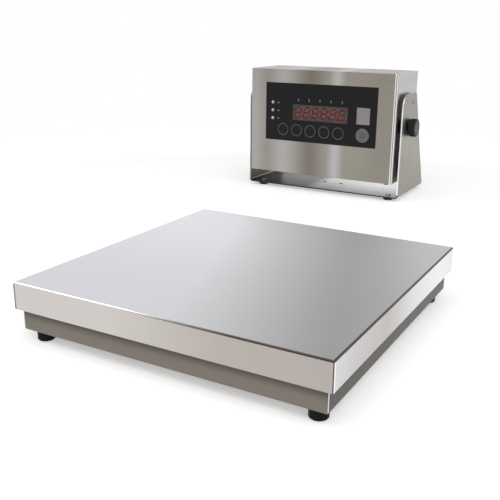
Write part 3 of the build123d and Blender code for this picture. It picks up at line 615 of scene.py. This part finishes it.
# %% The printed panel
print_pebbles = {"pebble_size": 1500.0, "strength": 0.08}
overlay_sheet = moulded("overlay sheet", (0.0125, 0.0125, 0.0125), 0.4, specular=0.14, **print_pebbles)
key_sheet = moulded("key sheet", (0.0135, 0.0135, 0.0135), 0.4, specular=0.14, **print_pebbles)
power_key_sheet = moulded("power key sheet", (0.17, 0.158, 0.163), 0.42, specular=0.3, **print_pebbles)
pale_ink = moulded("pale ink", (0.24, 0.235, 0.23), 0.5, specular=0.2, **print_pebbles)
ring_ink = moulded("ring ink", (0.13, 0.13, 0.122), 0.5, specular=0.2, **print_pebbles)
border_ink = moulded("border ink", (0.10, 0.107, 0.104), 0.5, specular=0.2, **print_pebbles)
dark_ink = moulded("dark ink", (0.02, 0.02, 0.02), 0.5, specular=0.2, **print_pebbles)
patch_sheet = moulded("patch sheet", (0.32, 0.295, 0.29), 0.45, specular=0.3, **print_pebbles)
digit_block = moulded("digit block", (0.21, 0.225, 0.217), 0.6, specular=0.2)
digit_red = moulded("digit red", (0.22, 0.006, 0.010), 0.5, specular=0.2, glow=((0.7, 0.02, 0.03), 0.06))
print("materials:", len(bpy.data.materials))


# %% Clear pieces
def clear_material(name, colour, roughness, alpha, specular=0.5):
    """A thin clear sheet is see-through by its alpha, so that lamps light what lies behind it."""
    material, tree, inputs = new_material(
        name, roughness, Base_Color=(*colour, 1.0), Alpha=alpha, Specular_IOR_Level=specular
    )
    skin = use_group(tree, moulded_texture, Pebble_Size=400.0)
    plug(tree, inputs["Roughness"], rescale(tree, skin["Sheen"], *noise_range, roughness, roughness + 0.05))
    return material


window_clear = clear_material("window clear", (0.10, 0.11, 0.105), 0.2, 0.2, specular=0.2)
vial_clear = clear_material("vial clear", (0.42, 0.75, 0.12), 0.05, 0.55)

# %% [markdown]
# ## Dressing the solids
# A solid whose shape is right keeps its mesh, and only its material changes. One table says which
# finish each solid takes, so a forgotten solid is easy to find.

# %% Finish of every solid
finishes = {
    pan_steel: ["platform_pan"],
    frame_steel: ["base_frame", "cross_beam"],
    case_steel: ["front_housing", "rear_cover"],
    bracket_steel: ["bracket"],
    screw_steel: [
        "cell_bolts_upper", "cell_bolts_lower", "cell_spacer_upper", "cell_spacer_lower", "stop_screws",
        "stop_nuts", "foot_nuts", "cover_screws", "board_screws", "bracket_foot_screws", "side_bosses",
        "knob_stud_left", "knob_stud_right", "dome_switches", "battery_clamp", "foot_stud_front_left",
        "foot_stud_front_right", "foot_stud_rear_left", "foot_stud_rear_right",
    ],
    spider_paint: ["platter_frame"],
    cell_aluminium: ["load_cell", "level_holder"],
    rubber: ["pan_pads", "case_gasket", "case_bumpers", "bracket_feet", "tilt_washers"],
    foot_plastic: [
        "foot_pad_front_left", "foot_pad_front_right", "foot_pad_rear_left", "foot_pad_rear_right",
    ],
    knob_plastic: ["knob_left", "knob_right"],
    gland_plastic: ["platform_gland", "platform_gland_nut", "case_glands", "case_gland_nuts"],
    overlay_sheet: ["overlay"],
    key_sheet: ["key_1", "key_2", "key_3", "key_4", "key_5"],
    power_key_sheet: ["power_key"],
    digit_block: ["display_module"],
    lamp_plastic: ["status_lamps"],
    board_green: ["display_board", "main_board"],
    brass: ["board_standoffs", "main_standoffs"],
    module_black: ["power_module"],
    battery_grey: ["battery_pack"],
    window_clear: ["display_window"],
    vial_clear: ["level_vial"],
}
for material, names in finishes.items():
    for name in names:
        nodes[name].data.materials.clear()
        nodes[name].data.materials.append(material)
dressed = [name for names in finishes.values() for name in names]
print("dressed:", len(dressed), "left over:", sorted(set(nodes) - set(dressed)))


# %% [markdown]
# ## Making pieces
# New pieces start as a bmesh, the editable form of a mesh. These helpers close the work: they turn the
# faces outwards, make an object with its material, and tie it to the body that it moves with. Others
# place and shape what is flat and faces the front, because every print on the panel does.

# %% Finish a piece
def new_object(name, mesh, material):
    """An object at the origin, with its place in its mesh."""
    data = bpy.data.meshes.new(name)
    mesh.to_mesh(data)
    mesh.free()
    data.materials.append(material)
    made = bpy.data.objects.new(name, data)
    bpy.context.scene.collection.objects.link(made)
    return made


def make_piece(name, mesh, material, body):
    """A piece with its faces turned outwards, tied to the body that it moves with."""
    bmesh.ops.recalc_face_normals(mesh, faces=mesh.faces)
    piece = new_object(name, mesh, material)
    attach(piece, body)
    return piece


# %% Flat pieces that face the front
same_place = 1e-6


def facing_front(x, y, z):
    """A place on an upright face: the piece's own X and Y run right and up, its Z comes forward."""
    return Matrix.Translation((x, y, z)) @ Matrix.Rotation(math.radians(90), 4, "X")


def add_tile(mesh, width, height, thickness, place, corner=0.0):
    """A thin upright tile with optional round corners, seen from the front."""
    size = Matrix.Diagonal((width, height, thickness, 1))
    made = bmesh.ops.create_cube(mesh, size=1.0, matrix=place @ size)
    if corner:
        sides = [
            edge for edge in {edge for vert in made["verts"] for edge in vert.link_edges}
            if abs((edge.verts[0].co - edge.verts[1].co).y) > thickness / 2
        ]
        bmesh.ops.bevel(
            mesh, geom=sides, offset=corner, segments=4, profile=0.5, affect="EDGES", material=-1
        )


def extrude_forward(mesh, faces, depth):
    """Extrudes flat faces towards the front, and gives back the corners that moved."""
    front = bmesh.ops.extrude_face_region(mesh, geom=faces)["geom"]
    moved = [item for item in front if isinstance(item, bmesh.types.BMVert)]
    bmesh.ops.translate(mesh, verts=moved, vec=(0, -depth, 0))
    return moved


def leave_rim(mesh, face, width, thickness):
    """Insets a flat face, cuts its middle out and extrudes the rim that is left."""
    rim = bmesh.ops.inset_region(mesh, faces=[face], thickness=width, use_boundary=True)["faces"]
    bmesh.ops.delete(mesh, geom=[face], context="FACES_ONLY")
    extrude_forward(mesh, rim, thickness)


# %% [markdown]
# ## The load cell that bends
# One end of the load cell is bolted to the frame and the other to the spider, which sinks a little
# under a load. A joined copy of its solid takes the place of the solid.

# %% Bending load cell
def make_bending_cell():
    """A joined copy of the solid, which takes the place of the hidden solid. The real cell bends between the
    inner corners of its two spacers.
    """
    mesh = bmesh.new()
    mesh.from_mesh(nodes["load_cell"].data)
    bmesh.ops.remove_doubles(mesh, verts=mesh.verts, dist=same_place)
    piece = new_object("bending_cell", mesh, cell_aluminium)
    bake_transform(piece)
    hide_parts("load_cell")
    return piece


bending_cell = make_bending_cell()
print("load cell:", len(bending_cell.data.vertices), "vertices")


# %% [markdown]
# ## The six red digits
# Each digit is seven bars and a point behind the window. One bar is a six-sided face with pointed
# ends, extruded forward. Across the digit, the bars slide sideways with height, which gives the usual
# slant.

# %% Digits
digit_count = 6
digit_height = 0.0186
digit_width = 0.0100
digit_shift = 0.46
bar_width = 0.0031
bar_gap = 0.0003
digit_slant = math.tan(math.radians(8))
bar_depth = 0.0003
point_radius = bar_width * 0.55
point_away = bar_width * 0.9


def add_bar(mesh, start, end, y):
    """A pointed bar from start to end in the digit's plane, at depth y."""
    along = (end - start).normalized()
    across = Vector((-along.z, 0, along.x)) * bar_width / 2
    tip = along * bar_width / 2
    start = start + along * bar_gap
    end = end - along * bar_gap
    outline = [
        start, start + tip + across, end - tip + across, end, end - tip - across, start + tip - across,
    ]
    corners = [mesh.verts.new((p.x + p.z * digit_slant, y, p.z)) for p in outline]
    return corners + extrude_forward(mesh, [mesh.faces.new(corners)], bar_depth)


module_low, module_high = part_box("display_module")


def make_digits():
    """Seven bars and a point for each digit, then moved to the digit's place."""
    mesh = bmesh.new()
    pitch = (module_high.x - module_low.x) / digit_count
    half_w, half_h = digit_width / 2, digit_height / 2 - bar_width / 2
    ends = [
        ((-1, 1), (1, 1)), ((-1, 0), (1, 0)), ((-1, -1), (1, -1)),
        ((-1, 0), (-1, 1)), ((1, 0), (1, 1)), ((-1, -1), (-1, 0)), ((1, -1), (1, 0)),
    ]
    middle_z = (module_low.z + module_high.z) / 2
    for n in range(digit_count):
        middle_x = module_low.x + pitch * (n + digit_shift)
        verts = []
        for (x0, z0), (x1, z1) in ends:
            start = Vector((x0 * half_w, 0, z0 * half_h))
            end = Vector((x1 * half_w, 0, z1 * half_h))
            verts += add_bar(mesh, start, end, module_low.y)
        point = bmesh.ops.create_cone(
            mesh, cap_ends=True, segments=16, radius1=point_radius, radius2=point_radius, depth=bar_depth,
            matrix=facing_front(half_w + point_away, module_low.y - bar_depth / 2, -half_h),
        )
        verts += point["verts"]
        bmesh.ops.translate(mesh, verts=verts, vec=(middle_x, 0, middle_z))
    return make_piece("digits", mesh, digit_red, "case")


digits = make_digits()
print("digits:", len(digits.data.polygons), "faces")


# %% [markdown]
# ## Print on the front panel
# The overlay is a printed sheet. Its print is a set of very thin tiles and rings that stand a
# hair's breadth in front of it: the rings round the keys, a plain patch, short marks beside the lamps
# and above the window, and the sign on the power key.

# %% Rings round the keys
ink_thickness = 0.00006
ring_width = 0.0011
ring_inset = 0.0004


def make_key_ring(name):
    """A ring with its back on the key's front: the rim of a disc."""
    low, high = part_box(name)
    outer = (high.x - low.x) / 2 - ring_inset
    place = facing_front((low.x + high.x) / 2, low.y, (low.z + high.z) / 2)
    mesh = bmesh.new()
    made = bmesh.ops.create_circle(mesh, cap_ends=True, segments=64, radius=outer, matrix=place)
    leave_rim(mesh, made["verts"][0].link_faces[0], ring_width, ink_thickness)
    return make_piece(f"{name}_ring", mesh, ring_ink, name)


key_names = [f"key_{n + 1}" for n in range(5)]
key_rings = [make_key_ring(name) for name in key_names]
print("rings:", [ring.name for ring in key_rings])

# %% Marks and patch
panel_front = overlay_low.y
patch_size = (0.0216, 0.0257)
patch_corner = 0.0008
patch_rise = 0.001
mark_size = (0.0046, 0.0015)
mark_away = 0.0105
mark_rise = 0.0078
lamp_count = 3
window_mark_count = 5
print_middle = panel_front - ink_thickness / 2


def make_marks():
    """A short mark beside each of the three lamps, and five above the window."""
    mesh = bmesh.new()
    lamp_low, lamp_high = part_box("status_lamps")
    lamp_x = (lamp_low.x + lamp_high.x) / 2
    radius = (lamp_high.x - lamp_low.x) / 2
    top, bottom = lamp_high.z - radius, lamp_low.z + radius
    for n in range(lamp_count):
        z = top + (bottom - top) * n / (lamp_count - 1)
        add_tile(mesh, *mark_size, ink_thickness, facing_front(lamp_x + mark_away, print_middle, z))
    for n in range(window_mark_count):
        x = window_low.x + (window_high.x - window_low.x) * (n + 0.5) / window_mark_count
        place = facing_front(x, print_middle, window_high.z + mark_rise)
        add_tile(mesh, mark_size[1], mark_size[0], ink_thickness, place)
    return make_piece("panel_marks", mesh, pale_ink, "case")


def make_patch():
    """A plain patch above the power key, level with the window."""
    mesh = bmesh.new()
    power_low, power_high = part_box("power_key")
    x = (power_low.x + power_high.x) / 2
    z = (window_low.z + window_high.z) / 2 + patch_rise
    add_tile(mesh, *patch_size, ink_thickness, facing_front(x, print_middle, z), corner=patch_corner)
    return make_piece("panel_patch", mesh, patch_sheet, "case")


marks = make_marks()
patch = make_patch()
print("print:", marks.name, patch.name)


# %% Border round the window
border_width = 0.0014


def make_window_border():
    """A printed frame that covers the seat of the window: the rim of a flat face."""
    mesh = bmesh.new()
    x = (window_low.x + window_high.x) / 2
    z = (window_low.z + window_high.z) / 2
    size = (window_high.x - window_low.x, window_high.z - window_low.z)
    back = facing_front(x, panel_front, z) @ Matrix.Diagonal((*size, 1, 1))
    made = bmesh.ops.create_grid(mesh, x_segments=1, y_segments=1, size=0.5, matrix=back)
    leave_rim(mesh, made["verts"][0].link_faces[0], border_width, ink_thickness)
    return make_piece("window_border", mesh, border_ink, "case")


window_border = make_window_border()
print("border:", len(window_border.data.polygons), "faces")


# %% Sign on the power key
sign_radius = 0.0036
sign_width = 0.0008
sign_gap = math.radians(38)
sign_bar_length = sign_radius * 1.1
sign_bar_rise = sign_radius * 0.75


def make_power_sign():
    """An open ring and a short upright bar. The ring is a small bar, spun round most of a turn."""
    low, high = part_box("power_key")
    x, z = (low.x + high.x) / 2, (low.z + high.z) / 2
    y = low.y - ink_thickness / 2
    mesh = bmesh.new()
    start = Matrix.Rotation(sign_gap, 4, "Y") @ Matrix.Translation((0, 0, sign_radius))
    section = Matrix.Rotation(math.radians(90), 4, "Y") @ Matrix.Diagonal((sign_width, ink_thickness, 1, 1))
    made = bmesh.ops.create_grid(mesh, x_segments=1, y_segments=1, size=0.5, matrix=start @ section)
    bmesh.ops.spin(
        mesh, geom=[made["verts"][0].link_faces[0]], cent=(0, 0, 0), axis=(0, 1, 0),
        angle=math.tau - 2 * sign_gap, steps=36,
    )
    bmesh.ops.translate(mesh, verts=mesh.verts, vec=(x, y, z))
    add_tile(mesh, sign_width, sign_bar_length, ink_thickness, facing_front(x, y, z + sign_bar_rise))
    return make_piece("power_sign", mesh, dark_ink, "power_key")


power_sign = make_power_sign()
print("sign:", len(power_sign.data.polygons), "faces")

# %% [markdown]
# ## Welds, knob faces and rivets
# The mitred corners of the frame are welded from outside. Each weld is a slim rounded bead along the
# upright corner. The knobs have a satin disc in their dish, whose lighter grey is painted sheen, and two
# small rivets sit on the right arm.

# %% Round the rims of a disc or rod
def round_rims(mesh, rims, offset):
    bmesh.ops.bevel(mesh, geom=rims, offset=offset, segments=2, profile=0.5, affect="EDGES", material=-1)


# %% Frame welds
weld_radius = 0.00045
weld_sink = 0.75
weld_round = 0.4
tube_edge = 0.0024


def make_frame_welds():
    """A rod in each corner of the frame, sunk by a share of its radius."""
    mesh = bmesh.new()
    height = frame_high.z - frame_low.z - 2 * tube_edge
    middle_z = (frame_low.z + frame_high.z) / 2
    for x in (frame_low.x, frame_high.x):
        for y in (frame_low.y, frame_high.y):
            to_middle = Vector((pan_middle.x - x, pan_middle.y - y, 0)).normalized()
            inward = to_middle * weld_radius * weld_sink
            bmesh.ops.create_cone(
                mesh, cap_ends=True, segments=16, radius1=weld_radius, radius2=weld_radius, depth=height,
                matrix=Matrix.Translation((x + inward.x, y + inward.y, middle_z)),
            )
    ends = [edge for edge in mesh.edges if abs(edge.verts[0].co.z - edge.verts[1].co.z) < same_place]
    round_rims(mesh, ends, weld_radius * weld_round)
    return make_piece("frame_welds", mesh, weld_steel, "base")


frame_welds = make_frame_welds()
print("welds:", len(frame_welds.data.vertices), "vertices")

# %% Knob faces
disc_share = 0.69
disc_thickness = 0.0004


def make_knob_face(side):
    low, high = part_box(f"knob_{side}")
    outer_x = low.x if side == "left" else high.x
    inward = 1 if side == "left" else -1
    radius = (high.z - low.z) / 2 * disc_share
    mesh = bmesh.new()
    middle = (low + high) / 2
    place = Matrix.Translation((outer_x + inward * disc_thickness, middle.y, middle.z))
    bmesh.ops.create_cone(
        mesh, cap_ends=True, segments=48, radius1=radius, radius2=radius, depth=disc_thickness,
        matrix=place @ Matrix.Rotation(math.radians(90), 4, "Y"),
    )
    rims = [edge for edge in mesh.edges if abs(edge.verts[0].co.x - edge.verts[1].co.x) < same_place]
    round_rims(mesh, rims, disc_thickness / 3)
    return make_piece(f"knob_face_{side}", mesh, knob_face, f"knob_{side}")


knob_faces = [make_knob_face(side) for side in ("left", "right")]
print("knob faces:", [face.name for face in knob_faces])

# %% Rivets on the arm
rivet_radius = 0.0014
rivet_places = ((0.0575, 0.1237), (0.0575, 0.1203))
flattened = Matrix.Diagonal((0.35, 1, 1, 1))


def make_rivets():
    """Low domes on the arm, placed by their distance back and up from the case's lower front corner."""
    mesh = bmesh.new()
    for back, rise in rivet_places:
        place = Matrix.Translation((bracket_high.x, case_low.y + back, case_low.z + rise))
        bmesh.ops.create_uvsphere(
            mesh, u_segments=16, v_segments=8, radius=rivet_radius, matrix=place @ flattened
        )
    return make_piece("arm_rivets", mesh, foot_plastic, "base")


rivets = make_rivets()
print("rivets:", len(rivets.data.vertices), "vertices")

# %% [markdown]
# ## Light
# Soft studio light comes from area lamps and a pale surrounding. The camera sees plain white. Steel
# mirrors a white room that is dark high up in front, which gives it contrast. Everything else is lit
# by a dimmer grey, so that the floor keeps a soft shadow.

# %% World and the rays that see it
world = bpy.data.worlds.new("studio")
bpy.context.scene.world = world
world.use_nodes = True
world_tree = world.node_tree
background = world_tree.nodes["Background"]


def seen_directly(tree):
    """One for camera, glossy and transmission rays, and zero for the rest."""
    path = tree.nodes.new("ShaderNodeLightPath").outputs
    seen = arithmetic(tree, "MAXIMUM", path["Is Camera Ray"], path["Is Glossy Ray"])
    return arithmetic(tree, "MAXIMUM", seen, path["Is Transmission Ray"])


ambient_grey = (0.26, 0.26, 0.265, 1.0)
dark_room = (0.16, 0.15, 0.145, 1.0)
dark_side = (0.62, -0.78, 0.0)
dark_rise = (0.12, 0.55)
dark_turn = (-0.75, 0.35)
low_rise = (-0.1, 0.12)
low_strength = 0.6


def mirrored_room(tree):
    """What polished metal sees: white near the floor and behind, a dark room high up in front."""
    direction = tree.nodes.new("ShaderNodeTexCoord").outputs["Generated"]
    rise = add_node(tree, "ShaderNodeSeparateXYZ", Vector=direction).outputs["Z"]
    high_up = rescale(tree, rise, *dark_rise, 0.0, 1.0)
    towards = vector_maths(tree, "DOT_PRODUCT", direction, dark_side)
    in_front = rescale(tree, towards, *dark_turn, 0.0, 1.0)
    above_floor = rescale(tree, rise, *low_rise, 0.0, low_strength)
    low_front = arithmetic(tree, "MULTIPLY", above_floor, in_front)
    dark = arithmetic(tree, "MAXIMUM", arithmetic(tree, "MULTIPLY", high_up, in_front), low_front)
    return blend_colours(tree, dark, white, dark_room)


def only_camera(tree):
    return tree.nodes.new("ShaderNodeLightPath").outputs["Is Camera Ray"]


surface_light = blend_colours(world_tree, seen_directly(world_tree), ambient_grey, mirrored_room(world_tree))
room_light = blend_colours(world_tree, only_camera(world_tree), surface_light, white)
plug(world_tree, background.inputs["Color"], room_light)
print("world:", world.name, len(world_tree.nodes), "nodes")

# %% Lamps
def area_lamp(name, place, target, size, watts):
    """A rectangular lamp that looks at its target."""
    data = bpy.data.lights.new(name, "AREA")
    data.shape = "RECTANGLE"
    data.size, data.size_y = size
    data.energy = watts
    lamp = bpy.data.objects.new(name, data)
    lamp.location = place
    lamp.rotation_euler = (Vector(target) - Vector(place)).to_track_quat("-Z", "Y").to_euler()
    bpy.context.scene.collection.objects.link(lamp)
    return lamp


area_lamp("overhead", (0.6, -1.3, 2.4), (0, 0, 0), (4.0, 4.0), 56)
area_lamp("front right", (1.3, -1.9, 2.0), (0, -0.2, 0), (0.9, 0.9), 6)
area_lamp("edge", (-1.65, -1.2, 1.7), (-0.05, -0.4, 0.05), (0.9, 0.6), 6)
area_lamp("side", (2.2, 0.3, 1.0), (0, 0, 0.05), (1.4, 1.4), 6)
print("lamps:", [light.name for light in bpy.data.lights])

# %% Floor
floor_size = 40.0
floor_glow = 0.4
shadow_reach = (0.55, 1.1)
glow_share = 0.45
lit_grey = (0.9, 0.9, 0.9, 1.0)
black = (0.0, 0.0, 0.0, 1.0)


def floor_material():
    """Lit white near the scale, where shadows fall, and plain white further out."""
    material, tree, inputs = new_material("floor white", 0.9, Specular_IOR_Level=0.0)
    place = tree.nodes.new("ShaderNodeTexCoord").outputs["Object"]
    distance = add_node(tree, "ShaderNodeVectorMath", {"operation": "LENGTH"})
    plug(tree, distance.inputs[0], place)
    far = rescale(tree, distance.outputs["Value"], *shadow_reach, 0.0, 1.0)
    plug(tree, inputs["Base Color"], blend_colours(tree, far, lit_grey, black))
    inputs["Emission Color"].default_value = white
    glow = rescale(tree, far, 0.0, glow_share, floor_glow, 1.0)
    plug(tree, inputs["Emission Strength"], arithmetic(tree, "MULTIPLY", seen_directly(tree), glow))
    return material


def make_floor():
    mesh = bmesh.new()
    bmesh.ops.create_grid(mesh, x_segments=1, y_segments=1, size=floor_size / 2)
    floor = new_object("floor", mesh, floor_material())
    return floor


floor = make_floor()
print("floor:", floor_size, "m across")

# %% Colour management
bpy.context.scene.view_settings.view_transform = "Standard"
